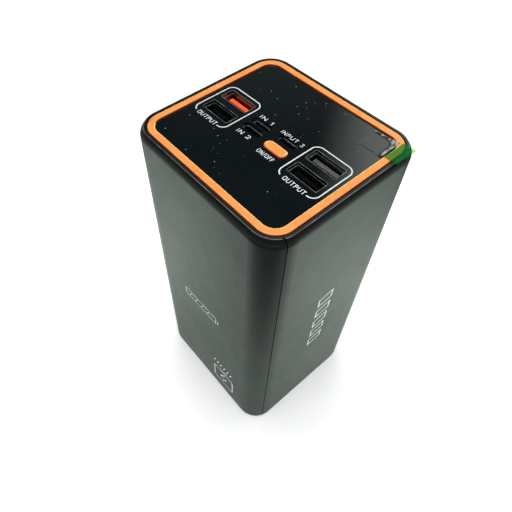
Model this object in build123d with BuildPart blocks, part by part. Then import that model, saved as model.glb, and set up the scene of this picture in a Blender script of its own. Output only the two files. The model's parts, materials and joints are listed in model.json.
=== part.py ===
from build123d import *
import os
from math import sqrt

# A power bank that stands upright: a tall rounded block, with all its sockets in the top face.
# Millimetres. The origin is the middle of the bottom face, +Z is up and the front face looks along -Y.

# Housing
WIDTH = 75.0              # along X
DEPTH = 70.0              # along Y
LAND_Z = 156.7            # flat rim around the ring
CORNER_R = 10.5           # upright corners
TOP_ARC_R = 4.4           # arc that leads from the sides up to the rim
TOP_ARC_INSET = 1.5       # where that arc meets the flat rim, in a crisp edge
BOTTOM_R = 1.3
WALL = 2.2
SEAM_Y = -28.3            # joint between the front cover and the rear shell
SEAM_GAP = 0.3
LIP_SKIN = 1.2            # outer skin that hides the lip inside the joint
LIP_DEPTH = 1.6
FIT = 0.1                 # gap between two pieces that locate each other

# Ring, panel and film
OPENING_INSET = 2.4       # opening in the rim
RING_OUT = 2.85
RING_IN = 5.65
RING_Z = 156.85
RING_OUT_R = 0.45
RING_IN_R = 0.45
PANEL_Z = 156.2
PANEL_T = 1.2
GLUE_T = 0.2
FILM_LIFT = 0.03
FILM_T = 0.08
FILM_INSET = RING_IN + 0.35

# Deck that carries the ring, the panel and the board
SHELF_Z = 154.3           # underside of the rim, top of the deck's flange
DECK_T = 2.0
DECK_LOW = SHELF_Z - DECK_T
DECK_TOP = PANEL_Z - PANEL_T - GLUE_T
DECK_INSET = WALL + FIT
RAIL_H = 1.5
RAIL_W = 1.8

# Main board
BOARD_TOP = 140.3
BOARD_T = 1.6
BOARD_LOW = BOARD_TOP - BOARD_T
BOARD_SIZE = (64.0, 54.0)
POST_X = 27.0
POST_Y = 22.0
POST_D = 5.2
SCREW_D = 1.8
SCREW_HEAD_D = 3.8
SCREW_HEAD_T = 1.3
SCREW_L = 6.0

# Sockets: place in the top face, and size of the panel's cut-out
MOUTH_Z = PANEL_Z - PANEL_T - FIT
USB_A_PLACES = [(-21.7, 3.2), (21.7, 3.2), (-21.7, -5.5), (21.7, -5.5)]
USB_A_HOLE = (13.1, 5.5)
USB_A_SHELL = (13.1, 5.72)
USB_A_WALL = 0.3
USB_A_BASE_Z = 143.7
USB_A_TONGUE = (11.1, 1.84)
USB_A_TONGUE_Z = 153.7
USB_A_TONGUE_Y = 0.92     # the tongue lies towards the back of the mouth
USB_A_PITCHES = (-3.5, -1.0, 1.0, 3.5)

TYPE_C_PLACE = (-6.45, -3.5)
TYPE_C_HOLE = (9.1, 3.5)
TYPE_C_SHELL = (8.94, 3.26)
MICRO_PLACE = (-6.4, 0.95)
MICRO_HOLE = (7.9, 2.8)
MICRO_SHELL = (7.5, 2.5)
PORT_3_PLACE = (6.0, 1.4)
PORT_3_HOLE = (8.3, 3.0)
PORT_3_SHELL = (8.1, 2.8)
INPUT_WALL = 0.25
INPUT_BASE_Z = 148.7
INPUT_TONGUE_Z = 154.2

# Button and its switch
BUTTON_PLACE = (6.2, -4.5)
BUTTON = (9.8, 4.2)
BUTTON_GAP = 0.2
BUTTON_Z = 156.85
BUTTON_FLANGE = (12.4, 6.4)
BUTTON_FLANGE_T = 1.1
SWITCH = 6.0
SWITCH_Z = 143.3
SWITCH_FLOOR_Z = 141.85
SWITCH_COVER_T = 0.25
PLUNGER_D = 3.2
PLUNGER_FLANGE_D = 4.2
PLUNGER_Z = 144.85

# Battery
CELL = (12.0, 60.0, 108.0)
CELL_COUNT = 5
CELL_PITCH = 12.8
CELL_LOW = 4.0
CELL_TOP = CELL_LOW + CELL[2]
TERRACE_TOP = CELL_TOP + 4.0
TAB_W = 8.0
TAB_T = 0.2
TAB_Y = 18.0
TAB_FOLD = 3.0
TAB_BOARD_LOW = 119.0
TAB_BOARD_TOP = 120.2
CARD_Z = 121.0

# Indicator lamps
LAMP_Y = -15.0
LAMP_PITCH = 3.0
LAMP_XS = [LAMP_PITCH * (index - 1.5) for index in range(4)]

# Tab of the film
TAPE_XS = (21.6, 31.3)
TAPE_YS = (19.2, 28.1)
TAPE_FLAT_X = 27.6
TAPE_RISEN_X = 29.2
TAB_END_X = 37.2
TAB_END_Z = 157.6
TAB_YS = (19.2, 28.8)
SHEET_T = 0.1

os.makedirs("parts", exist_ok=True)


def save(piece, node):
    """Label a finished piece and write its STEP file."""
    piece.part.label = node
    export_step(piece.part, f"parts/{node}.step")


def upright_block(inset, low, high, mode=Mode.ADD):
    """Rounded block that keeps the housing's outline, moved in by inset."""
    with BuildSketch(Plane.XY.offset(low)) as outline:
        RectangleRounded(WIDTH - 2 * inset, DEPTH - 2 * inset, CORNER_R - inset)
    extrude(outline.sketch, amount=high - low, mode=mode)


def box_between(low, high, mode=Mode.ADD):
    """Box between two corners."""
    middle = [(a + b) / 2 for a, b in zip(low, high)]
    with Locations(tuple(middle)):
        Box(high[0] - low[0], high[1] - low[1], high[2] - low[2], mode=mode)


def micro_outline(width, height):
    """Outline of a micro socket, a flat box whose two front corners are cut off, in the open line."""
    cut = height * 0.45
    half_w = width / 2
    half_h = height / 2
    Polyline(
        (-half_w, half_h), (half_w, half_h), (half_w, -half_h + cut), (half_w - cut, -half_h),
        (-half_w + cut, -half_h), (-half_w, -half_h + cut), close=True,
    )


def top_holes(grow, button_grow):
    """All openings of the top face, widened by grow on every side, in the sketch that is open."""
    with Locations(*USB_A_PLACES):
        RectangleRounded(USB_A_HOLE[0] + 2 * grow, USB_A_HOLE[1] + 2 * grow, 0.3 + grow)
    for place, hole in ((TYPE_C_PLACE, TYPE_C_HOLE), (PORT_3_PLACE, PORT_3_HOLE)):
        with Locations(place):
            SlotOverall(hole[0] + 2 * grow, hole[1] + 2 * grow)
    with Locations(MICRO_PLACE):
        RectangleRounded(MICRO_HOLE[0] + 2 * grow, MICRO_HOLE[1] + 2 * grow, 0.5 + grow)
    with Locations(BUTTON_PLACE):
        SlotOverall(BUTTON[0] + 2 * button_grow, BUTTON[1] + 2 * button_grow)


# ---------------------------------------------------------------- housing
arc_rise = sqrt(TOP_ARC_R**2 - (TOP_ARC_R - TOP_ARC_INSET) ** 2)
block_z = LAND_Z - arc_rise + TOP_ARC_R
cavity_x = WIDTH / 2 - WALL
cavity_y = DEPTH / 2 - WALL

with BuildPart() as housing:
    upright_block(0, 0, block_z)
    fillet(housing.faces().sort_by(Axis.Z)[-1].edges(), TOP_ARC_R)
    fillet(housing.faces().sort_by(Axis.Z)[0].edges(), BOTTOM_R)
    upright_block(0, LAND_Z, block_z, mode=Mode.SUBTRACT)
    upright_block(WALL, WALL, SHELF_Z, mode=Mode.SUBTRACT)
    upright_block(OPENING_INSET, SHELF_Z, LAND_Z, mode=Mode.SUBTRACT)

with BuildPart() as seam_lip:
    add(housing.part)
    upright_block(LIP_SKIN, LIP_SKIN, LAND_Z - LIP_SKIN, mode=Mode.INTERSECT)
    with Locations((0, SEAM_Y + SEAM_GAP - (LIP_DEPTH + SEAM_GAP) / 2, LAND_Z / 2)):
        Box(WIDTH, LIP_DEPTH + SEAM_GAP, LAND_Z, mode=Mode.INTERSECT)

with BuildPart() as rear_shell:
    add(housing.part)
    split(bisect_by=Plane.XZ.offset(-(SEAM_Y + SEAM_GAP / 2)), keep=Keep.BOTTOM)
    add(seam_lip.part)
    # rails under the deck
    rail_low = DECK_LOW - RAIL_H
    for side in (-1, 1):
        edge = side * cavity_x
        box_between(
            (min(edge, edge - side * RAIL_W), -20.0, rail_low),
            (max(edge, edge - side * RAIL_W), 24.0, DECK_LOW),
        )
    box_between((-26.0, cavity_y - RAIL_W, rail_low), (26.0, cavity_y, DECK_LOW))
    # ribs that hold the cells
    for rib_x in (-24.0, 0.0, 24.0):
        box_between(
            (rib_x - 0.7, CELL[1] / 2 + FIT, WALL), (rib_x + 0.7, cavity_y, TERRACE_TOP)
        )
save(rear_shell, "rear_shell")

with BuildPart() as lip_space:
    upright_block(LIP_SKIN - FIT, LIP_SKIN - FIT, LAND_Z - LIP_SKIN + FIT)
    with Locations((0, SEAM_Y - (LIP_DEPTH + FIT) / 2 + 0.5, LAND_Z / 2)):
        Box(WIDTH, LIP_DEPTH + FIT + 1.0, LAND_Z, mode=Mode.INTERSECT)

with BuildPart() as front_cover:
    add(housing.part)
    split(bisect_by=Plane.XZ.offset(-(SEAM_Y - SEAM_GAP / 2)), keep=Keep.TOP)
    add(lip_space.part, mode=Mode.SUBTRACT)
    box_between((-26.0, -cavity_y, rail_low), (26.0, -cavity_y + RAIL_W, DECK_LOW))
    for rib_x in (-24.0, 0.0, 24.0):
        box_between(
            (rib_x - 0.7, -cavity_y, WALL), (rib_x + 0.7, -CELL[1] / 2 - FIT, TERRACE_TOP)
        )
save(front_cover, "front_cover")

# ---------------------------------------------------------------- deck, ring, panel, film
deck_hole_grow = 0.4

with BuildPart() as top_deck:
    upright_block(DECK_INSET, DECK_LOW, SHELF_Z)
    upright_block(RING_IN + FIT, SHELF_Z, DECK_TOP)
    with BuildSketch(Plane.XY.offset(DECK_LOW)):
        top_holes(deck_hole_grow, BUTTON_GAP)
        with Locations(*[(x, LAMP_Y) for x in LAMP_XS]):
            Circle(1.1)
    extrude(amount=DECK_TOP - DECK_LOW, mode=Mode.SUBTRACT)
    # posts that hold the main board
    with BuildSketch(Plane.XY.offset(BOARD_TOP)):
        with GridLocations(2 * POST_X, 2 * POST_Y, 2, 2):
            Circle(POST_D / 2)
    extrude(amount=DECK_LOW - BOARD_TOP)
    with BuildSketch(Plane.XY.offset(BOARD_TOP)):
        with GridLocations(2 * POST_X, 2 * POST_Y, 2, 2):
            Circle(SCREW_D / 2)
    extrude(amount=SCREW_L, mode=Mode.SUBTRACT)
save(top_deck, "top_deck")

with BuildPart() as accent_ring:
    upright_block(RING_OUT, SHELF_Z, RING_Z)
    upright_block(RING_IN, SHELF_Z, RING_Z, mode=Mode.SUBTRACT)
    ring_top = accent_ring.faces().sort_by(Axis.Z)[-1]
    fillet(ring_top.outer_wire().edges(), RING_OUT_R)
    ring_top = accent_ring.faces().sort_by(Axis.Z)[-1]
    fillet(ring_top.inner_wires()[0].edges(), RING_IN_R)
save(accent_ring, "accent_ring")

with BuildPart() as panel_adhesive:
    upright_block(RING_IN + 0.4, DECK_TOP, DECK_TOP + GLUE_T)
    with BuildSketch(Plane.XY.offset(DECK_TOP)):
        top_holes(deck_hole_grow + 0.1, BUTTON_GAP + 0.3)
        with Locations(*[(x, LAMP_Y) for x in LAMP_XS]):
            Circle(1.4)
    extrude(amount=GLUE_T, mode=Mode.SUBTRACT)
save(panel_adhesive, "panel_adhesive")

with BuildPart() as top_panel:
    upright_block(RING_IN + FIT, PANEL_Z - PANEL_T, PANEL_Z)
    with BuildSketch(Plane.XY.offset(PANEL_Z - PANEL_T)):
        top_holes(0, BUTTON_GAP)
    extrude(amount=PANEL_T, mode=Mode.SUBTRACT)
    panel_face = top_panel.faces().sort_by(Axis.Z)[-1]
    chamfer(panel_face.edges(), 0.12)
save(top_panel, "top_panel")

with BuildPart() as protective_film:
    upright_block(FILM_INSET, PANEL_Z + FILM_LIFT, PANEL_Z + FILM_LIFT + FILM_T)
    with BuildSketch(Plane.XY.offset(PANEL_Z + FILM_LIFT)):
        top_holes(0.35, BUTTON_GAP + 0.3)
    extrude(amount=FILM_T, mode=Mode.SUBTRACT)
save(protective_film, "protective_film")

sheet_z = PANEL_Z + FILM_LIFT + FILM_T + 0.02
over_ring = RING_Z + 0.05


def sheet_strip(run, low_y, high_y):
    """Thin strip that follows the points of run, an outline in X and Z, from low_y to high_y."""
    upper = [(x, z + SHEET_T) for x, z in reversed(run)]
    with BuildSketch(Plane.XZ.offset(-low_y)) as section:
        with BuildLine():
            Polyline(*run, *upper, close=True)
        make_face()
    extrude(section.sketch, amount=low_y - high_y)


# The tape sticks to the film and bridges up to the ring.
with BuildPart() as pull_tab_tape:
    sheet_strip(
        [(TAPE_XS[0], sheet_z), (TAPE_FLAT_X, sheet_z), (TAPE_RISEN_X, over_ring), (TAPE_XS[1], over_ring)],
        *TAPE_YS,
    )
save(pull_tab_tape, "pull_tab_tape")

# The tab lies on the ring and its free end stands a little off the rim.
with BuildPart() as pull_tab:
    sheet_strip(
        [(TAPE_XS[1], over_ring), (WIDTH / 2 - RING_OUT - 0.2, over_ring), (TAB_END_X, TAB_END_Z)],
        *TAB_YS,
    )
save(pull_tab, "pull_tab")

# ---------------------------------------------------------------- USB-A sockets
tongue_middle = (USB_A_BASE_Z + USB_A_TONGUE_Z) / 2
for number, place in enumerate(USB_A_PLACES, start=1):
    with BuildPart() as usb_a_shell:
        with BuildSketch(Plane.XY.offset(BOARD_TOP)):
            with Locations(place):
                RectangleRounded(USB_A_SHELL[0], USB_A_SHELL[1], 0.6)
                RectangleRounded(
                    USB_A_SHELL[0] - 2 * USB_A_WALL, USB_A_SHELL[1] - 2 * USB_A_WALL, 0.3,
                    mode=Mode.SUBTRACT,
                )
        extrude(amount=MOUTH_Z - BOARD_TOP)
    save(usb_a_shell, f"usb_a_shell_{number}")

    with BuildPart() as usb_a_tongue:
        with BuildSketch(Plane.XY.offset(BOARD_TOP)):
            with Locations(place):
                RectangleRounded(
                    USB_A_SHELL[0] - 2 * USB_A_WALL - 0.1, USB_A_SHELL[1] - 2 * USB_A_WALL - 0.1, 0.25
                )
        extrude(amount=USB_A_BASE_Z - BOARD_TOP)
        with BuildSketch(Plane.XY.offset(USB_A_BASE_Z)):
            with Locations((place[0], place[1] + USB_A_TONGUE_Y)):
                Rectangle(*USB_A_TONGUE)
        extrude(amount=USB_A_TONGUE_Z - USB_A_BASE_Z)
        fillet(usb_a_tongue.faces().sort_by(Axis.Z)[-1].edges(), 0.35)
    save(usb_a_tongue, f"usb_a_tongue_{number}")

    with BuildPart() as usb_a_contacts:
        contact_y = place[1] + USB_A_TONGUE_Y - USB_A_TONGUE[1] / 2 - 0.15
        with Locations(*[(place[0] + pitch, contact_y, tongue_middle) for pitch in USB_A_PITCHES]):
            Box(1.0, 0.3, USB_A_TONGUE_Z - USB_A_BASE_Z - 2.0)
    save(usb_a_contacts, f"usb_a_contacts_{number}")

# ---------------------------------------------------------------- type-C socket
tongue_c = (6.7, 0.7)
with BuildPart() as type_c_shell:
    with BuildSketch(Plane.XY.offset(BOARD_TOP)):
        with Locations(TYPE_C_PLACE):
            SlotOverall(*TYPE_C_SHELL)
            SlotOverall(
                TYPE_C_SHELL[0] - 2 * INPUT_WALL, TYPE_C_SHELL[1] - 2 * INPUT_WALL, mode=Mode.SUBTRACT
            )
    extrude(amount=MOUTH_Z - BOARD_TOP)
save(type_c_shell, "type_c_shell")

with BuildPart() as type_c_tongue:
    with BuildSketch(Plane.XY.offset(BOARD_TOP)):
        with Locations(TYPE_C_PLACE):
            SlotOverall(TYPE_C_SHELL[0] - 2 * INPUT_WALL - 0.1, TYPE_C_SHELL[1] - 2 * INPUT_WALL - 0.1)
    extrude(amount=INPUT_BASE_Z - BOARD_TOP)
    with BuildSketch(Plane.XY.offset(INPUT_BASE_Z)):
        with Locations(TYPE_C_PLACE):
            RectangleRounded(tongue_c[0], tongue_c[1], 0.3)
    extrude(amount=INPUT_TONGUE_Z - INPUT_BASE_Z)
save(type_c_tongue, "type_c_tongue")

with BuildPart() as type_c_contacts:
    for side in (-1, 1):
        pad_y = TYPE_C_PLACE[1] + side * (tongue_c[1] / 2 + 0.04)
        with Locations((TYPE_C_PLACE[0], pad_y, (INPUT_BASE_Z + INPUT_TONGUE_Z) / 2)):
            with GridLocations(0.7, 0, 8, 1):
                Box(0.35, 0.08, 4.0)
save(type_c_contacts, "type_c_contacts")

# ---------------------------------------------------------------- micro socket
with BuildPart() as micro_shell:
    with BuildSketch(Plane(origin=MICRO_PLACE + (BOARD_TOP,))):
        with BuildLine():
            micro_outline(*MICRO_SHELL)
        make_face()
        offset(amount=-INPUT_WALL, mode=Mode.SUBTRACT)
    extrude(amount=MOUTH_Z - BOARD_TOP)
save(micro_shell, "micro_shell")

with BuildPart() as micro_tongue:
    with BuildSketch(Plane(origin=MICRO_PLACE + (BOARD_TOP,))):
        with BuildLine():
            micro_outline(*MICRO_SHELL)
        make_face()
        offset(amount=-INPUT_WALL - 0.05, mode=Mode.REPLACE)
    extrude(amount=INPUT_BASE_Z - BOARD_TOP)
    with BuildSketch(Plane.XY.offset(INPUT_BASE_Z)):
        with Locations((MICRO_PLACE[0], MICRO_PLACE[1] + 0.35)):
            Rectangle(4.2, 0.6)
    extrude(amount=INPUT_TONGUE_Z - INPUT_BASE_Z)
save(micro_tongue, "micro_tongue")

with BuildPart() as micro_contacts:
    with Locations((MICRO_PLACE[0], MICRO_PLACE[1], (INPUT_BASE_Z + INPUT_TONGUE_Z) / 2)):
        with GridLocations(0.65, 0, 5, 1):
            Box(0.35, 0.1, 4.0)
save(micro_contacts, "micro_contacts")

# ---------------------------------------------------------------- third input socket
port_3_inner = (PORT_3_SHELL[0] - 2 * INPUT_WALL, PORT_3_SHELL[1] - 2 * INPUT_WALL)
with BuildPart() as input_port_3_shell:
    with BuildSketch(Plane.XY.offset(BOARD_TOP)):
        with Locations(PORT_3_PLACE):
            SlotOverall(*PORT_3_SHELL)
            SlotOverall(*port_3_inner, mode=Mode.SUBTRACT)
    extrude(amount=MOUTH_Z - BOARD_TOP)
save(input_port_3_shell, "input_port_3_shell")

with BuildPart() as input_port_3_insulator:
    with BuildSketch(Plane.XY.offset(BOARD_TOP)):
        with Locations(PORT_3_PLACE):
            SlotOverall(port_3_inner[0] - 0.1, port_3_inner[1] - 0.1)
    extrude(amount=INPUT_BASE_Z - BOARD_TOP)
save(input_port_3_insulator, "input_port_3_insulator")

with BuildPart() as input_port_3_contacts:
    spring_y = PORT_3_PLACE[1] + port_3_inner[1] / 2 - 0.25
    with Locations((PORT_3_PLACE[0], spring_y, INPUT_BASE_Z + 1.5)):
        with GridLocations(0.7, 0, 8, 1):
            Box(0.4, 0.25, 3.0)
save(input_port_3_contacts, "input_port_3_contacts")

# ---------------------------------------------------------------- button and switch
flange_top = DECK_LOW - FIT
flange_low = flange_top - BUTTON_FLANGE_T
with BuildPart() as power_button:
    with BuildSketch(Plane.XY.offset(flange_low)):
        with Locations(BUTTON_PLACE):
            SlotOverall(*BUTTON_FLANGE)
    extrude(amount=BUTTON_FLANGE_T)
    with BuildSketch(Plane.XY.offset(flange_top)):
        with Locations(BUTTON_PLACE):
            SlotOverall(*BUTTON)
    extrude(amount=BUTTON_Z - flange_top)
    fillet(power_button.faces().sort_by(Axis.Z)[-1].edges(), 0.65)
    with BuildSketch(Plane.XY.offset(PLUNGER_Z + FIT)):
        with Locations(BUTTON_PLACE):
            Circle(1.5)
    extrude(amount=flange_low - PLUNGER_Z - FIT)
save(power_button, "power_button")

with BuildPart() as switch_body:
    with BuildSketch(Plane.XY.offset(BOARD_TOP)):
        with Locations(BUTTON_PLACE):
            RectangleRounded(SWITCH, SWITCH, 0.4)
    extrude(amount=SWITCH_Z - BOARD_TOP)
    with BuildSketch(Plane.XY.offset(SWITCH_FLOOR_Z)):
        with Locations(BUTTON_PLACE):
            Circle(PLUNGER_FLANGE_D / 2 + 0.3)
    extrude(amount=SWITCH_Z - SWITCH_FLOOR_Z, mode=Mode.SUBTRACT)
save(switch_body, "switch_body")

with BuildPart() as switch_cover:
    with BuildSketch(Plane.XY.offset(SWITCH_Z)):
        with Locations(BUTTON_PLACE):
            RectangleRounded(SWITCH, SWITCH, 0.4)
            Circle(PLUNGER_D / 2 + 0.2, mode=Mode.SUBTRACT)
    extrude(amount=SWITCH_COVER_T)
save(switch_cover, "switch_cover")

plunger_low = SWITCH_Z - 0.65
with BuildPart() as switch_plunger:
    with BuildSketch(Plane.XY.offset(plunger_low)):
        with Locations(BUTTON_PLACE):
            Circle(PLUNGER_FLANGE_D / 2)
    extrude(amount=0.5)
    with BuildSketch(Plane.XY.offset(plunger_low)):
        with Locations(BUTTON_PLACE):
            Circle(PLUNGER_D / 2)
    extrude(amount=PLUNGER_Z - plunger_low)
save(switch_plunger, "switch_plunger")

# a thin spherical cap that snaps through under the plunger
dome_base_r = 2.1
dome_h = plunger_low - SWITCH_FLOOR_Z
dome_t = 0.12
dome_r = (dome_base_r**2 + dome_h**2) / (2 * dome_h)
with BuildPart() as switch_dome:
    with Locations(BUTTON_PLACE + (SWITCH_FLOOR_Z + dome_h - dome_r,)):
        Sphere(dome_r)
        Sphere(dome_r - dome_t, mode=Mode.SUBTRACT)
    with Locations(BUTTON_PLACE + (SWITCH_FLOOR_Z + dome_h / 2,)):
        Box(2 * dome_base_r + 1, 2 * dome_base_r + 1, dome_h, mode=Mode.INTERSECT)
save(switch_dome, "switch_dome")

# ---------------------------------------------------------------- main board and what stands on it
with BuildPart() as main_board:
    with BuildSketch(Plane.XY.offset(BOARD_LOW)):
        RectangleRounded(*BOARD_SIZE, 2.0)
        with GridLocations(2 * POST_X, 2 * POST_Y, 2, 2):
            Circle(SCREW_D / 2 + 0.2, mode=Mode.SUBTRACT)
    extrude(amount=BOARD_T)
save(main_board, "main_board")

with BuildPart() as board_screws:
    with BuildSketch(Plane.XY.offset(BOARD_LOW - SCREW_HEAD_T)):
        with GridLocations(2 * POST_X, 2 * POST_Y, 2, 2):
            Circle(SCREW_HEAD_D / 2)
    extrude(amount=SCREW_HEAD_T)
    with BuildSketch(Plane.XY.offset(BOARD_LOW)):
        with GridLocations(2 * POST_X, 2 * POST_Y, 2, 2):
            Circle(SCREW_D / 2 - 0.05)
    extrude(amount=SCREW_L)
    fillet(board_screws.faces().group_by(Axis.Z)[0].edges(), 0.4)
    # cross recess in each head
    with BuildSketch(Plane.XY.offset(BOARD_LOW - SCREW_HEAD_T)):
        with GridLocations(2 * POST_X, 2 * POST_Y, 2, 2):
            Rectangle(2.0, 0.5)
            Rectangle(0.5, 2.0)
    extrude(amount=0.7, mode=Mode.SUBTRACT)
save(board_screws, "board_screws")

with BuildPart() as control_chip:
    with Locations((-16.0, -17.0, BOARD_TOP + 0.45)):
        Box(7.0, 7.0, 0.9)
save(control_chip, "control_chip")

with BuildPart() as power_chips:
    with Locations((15.5, -17.5, BOARD_TOP + 0.75)):
        with GridLocations(7.0, 7.0, 2, 2):
            Box(5.0, 4.0, 1.5)
save(power_chips, "power_chips")

with BuildPart() as power_inductors:
    with BuildSketch(Plane.XY.offset(BOARD_TOP)):
        with Locations((-13.0, 17.5), (0.0, 17.5)):
            RectangleRounded(10.0, 10.0, 1.5)
    extrude(amount=5.4)
    fillet(power_inductors.faces().group_by(Axis.Z)[-1].edges(), 0.6)
save(power_inductors, "power_inductors")

with BuildPart() as filter_capacitors:
    with BuildSketch(Plane.XY.offset(BOARD_TOP)):
        with Locations((11.5, 14.0), (19.0, 14.0), (15.3, 21.0)):
            Circle(3.15)
    extrude(amount=7.7)
    fillet(filter_capacitors.faces().group_by(Axis.Z)[-1].edges(), 0.5)
save(filter_capacitors, "filter_capacitors")

with BuildPart() as chip_passives:
    with Locations((-3.0, -22.5, BOARD_TOP + 0.25)):
        with GridLocations(2.8, 1.7, 4, 4):
            Box(1.6, 0.8, 0.5)
save(chip_passives, "chip_passives")

with BuildPart() as indicator_leds:
    with Locations(*[(x, LAMP_Y, BOARD_TOP + 0.4) for x in LAMP_XS]):
        Box(1.6, 0.8, 0.8)
save(indicator_leds, "indicator_leds")

with BuildPart() as light_guide:
    with BuildSketch(Plane.XY.offset(BOARD_TOP + 1.4)):
        with Locations(*[(x, LAMP_Y) for x in LAMP_XS]):
            Circle(0.9)
    extrude(amount=DECK_TOP - BOARD_TOP - 1.4)
    with BuildSketch(Plane.XY.offset(DECK_LOW - 2.3)):
        with Locations((0, LAMP_Y)):
            RectangleRounded(12.4, 3.2, 0.5)
    extrude(amount=2.0)
save(light_guide, "light_guide")

# ---------------------------------------------------------------- battery
cell_xs = [CELL_PITCH * (index - (CELL_COUNT - 1) / 2) for index in range(CELL_COUNT)]
for number, cell_x in enumerate(cell_xs, start=1):
    with BuildPart() as battery_cell:
        with Locations((cell_x, 0, CELL_LOW + CELL[2] / 2)):
            Box(*CELL)
        fillet(battery_cell.edges(), 1.5)
        box_between((cell_x - 0.5, -28.0, CELL_TOP - 1.0), (cell_x + 0.5, 28.0, TERRACE_TOP))
    save(battery_cell, f"battery_cell_{number}")

for node, tab_y in (("positive_tabs", TAB_Y), ("negative_tabs", -TAB_Y)):
    with BuildPart() as cell_tabs:
        for cell_x in cell_xs:
            box_between(
                (cell_x - TAB_T / 2, tab_y - TAB_W / 2, TERRACE_TOP),
                (cell_x + TAB_T / 2, tab_y + TAB_W / 2, TAB_BOARD_TOP + TAB_T),
            )
            box_between(
                (cell_x - TAB_T / 2, tab_y - TAB_W / 2, TAB_BOARD_TOP),
                (cell_x + TAB_FOLD, tab_y + TAB_W / 2, TAB_BOARD_TOP + TAB_T),
            )
    save(cell_tabs, node)

with BuildPart() as tab_board:
    with BuildSketch(Plane.XY.offset(TAB_BOARD_LOW)):
        RectangleRounded(62.0, 50.0, 1.5)
        with GridLocations(CELL_PITCH, 2 * TAB_Y, CELL_COUNT, 2):
            Rectangle(TAB_T + 0.4, TAB_W + 0.6, mode=Mode.SUBTRACT)
    extrude(amount=TAB_BOARD_TOP - TAB_BOARD_LOW)
save(tab_board, "tab_board")

lead_d = 2.4
lead_x = -19.0
lead_y = 6.0
lead_rise = (BOARD_LOW - TAB_BOARD_TOP) / 3
lead_shift = 4.0
for node, side in (("positive_lead", 1), ("negative_lead", -1)):
    with BuildPart() as lead:
        with BuildLine() as lead_path:
            FilletPolyline(
                (lead_x, side * lead_y, TAB_BOARD_TOP),
                (lead_x, side * lead_y, TAB_BOARD_TOP + lead_rise),
                (lead_x + lead_shift, side * lead_y, TAB_BOARD_TOP + 2 * lead_rise),
                (lead_x + lead_shift, side * lead_y, BOARD_LOW),
                radius=8.0,
            )
        with BuildSketch(Plane.XY.offset(TAB_BOARD_TOP)):
            with Locations((lead_x, side * lead_y)):
                Circle(lead_d / 2)
        sweep(path=lead_path.line)
    save(lead, node)

spacer = (56.0, 100.0)    # between the cells
side_pad = (46.0, 100.0)  # beside the outer cells
spacer_z = CELL_LOW + CELL[2] / 2
with BuildPart() as cell_spacers:
    for index in range(CELL_COUNT - 1):
        with Locations(((cell_xs[index] + cell_xs[index + 1]) / 2, 0, spacer_z)):
            Box(CELL_PITCH - CELL[0], *spacer)
    stack_x = cell_xs[-1] + CELL[0] / 2
    for side in (-1, 1):
        with Locations((side * (stack_x + cavity_x) / 2, 0, spacer_z)):
            Box(cavity_x - stack_x - 0.2, *side_pad)
save(cell_spacers, "cell_spacers")

with BuildPart() as base_pad:
    with BuildSketch(Plane.XY.offset(WALL)):
        RectangleRounded(64.0, 58.0, 4.0)
    extrude(amount=CELL_LOW - WALL)
save(base_pad, "base_pad")

with BuildPart() as insulation_card:
    with BuildSketch(Plane.XY.offset(CARD_Z)):
        RectangleRounded(66.0, 60.0, 5.0)
        with Locations((lead_x, lead_y), (lead_x, -lead_y)):
            Circle(lead_d / 2 + 0.6, mode=Mode.SUBTRACT)
    extrude(amount=0.4)
save(insulation_card, "insulation_card")
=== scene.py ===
"""A power bank that stands upright, with its sockets, button and orange ring in the top face.

Metres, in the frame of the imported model: the origin is under the middle of the base and the front face looks
along -Y.
Sizes below are written in millimetres and multiplied by MM where they are used.
"""

import json
import math
import random

import bmesh
import bpy
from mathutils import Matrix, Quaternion, Vector


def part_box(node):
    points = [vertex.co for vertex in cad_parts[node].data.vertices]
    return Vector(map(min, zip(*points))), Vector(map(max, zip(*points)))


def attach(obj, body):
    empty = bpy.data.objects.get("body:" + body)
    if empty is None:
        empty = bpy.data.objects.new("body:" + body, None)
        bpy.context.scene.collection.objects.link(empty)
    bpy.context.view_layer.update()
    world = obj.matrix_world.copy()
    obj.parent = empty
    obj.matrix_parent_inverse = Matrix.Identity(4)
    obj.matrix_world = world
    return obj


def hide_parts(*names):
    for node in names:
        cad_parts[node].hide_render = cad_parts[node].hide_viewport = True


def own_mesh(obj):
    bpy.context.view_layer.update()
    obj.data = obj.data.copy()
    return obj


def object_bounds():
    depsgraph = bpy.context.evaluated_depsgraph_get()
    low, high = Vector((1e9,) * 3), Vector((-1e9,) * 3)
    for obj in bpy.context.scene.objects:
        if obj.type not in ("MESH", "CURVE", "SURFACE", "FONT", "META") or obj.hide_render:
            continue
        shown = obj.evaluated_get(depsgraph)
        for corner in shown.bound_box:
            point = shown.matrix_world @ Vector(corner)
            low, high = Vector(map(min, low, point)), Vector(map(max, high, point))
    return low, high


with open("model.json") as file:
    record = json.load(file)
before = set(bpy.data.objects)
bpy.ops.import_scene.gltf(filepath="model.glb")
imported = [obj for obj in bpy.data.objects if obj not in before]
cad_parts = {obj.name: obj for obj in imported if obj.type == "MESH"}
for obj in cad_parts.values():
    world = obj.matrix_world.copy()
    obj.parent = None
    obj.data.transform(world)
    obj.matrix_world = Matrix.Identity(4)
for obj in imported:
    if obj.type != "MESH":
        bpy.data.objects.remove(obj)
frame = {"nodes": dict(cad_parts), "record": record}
cad_low, cad_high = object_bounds()
nodes = frame["nodes"]
MM = 0.001

# ---------------------------------------------------------------- camera

CAMERA_AT = (88.34, -92.56, 265.67)
CAMERA_AZIMUTH = 52.11
CAMERA_ELEVATION = 51.75
CAMERA_ROLL = -1.79
CAMERA_LENS = 33.63
CAMERA_SHIFT = (0.0687, -0.0540)
CAMERA_SENSOR = 36
CAMERA_CLIP = (0.01, 20)

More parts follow.
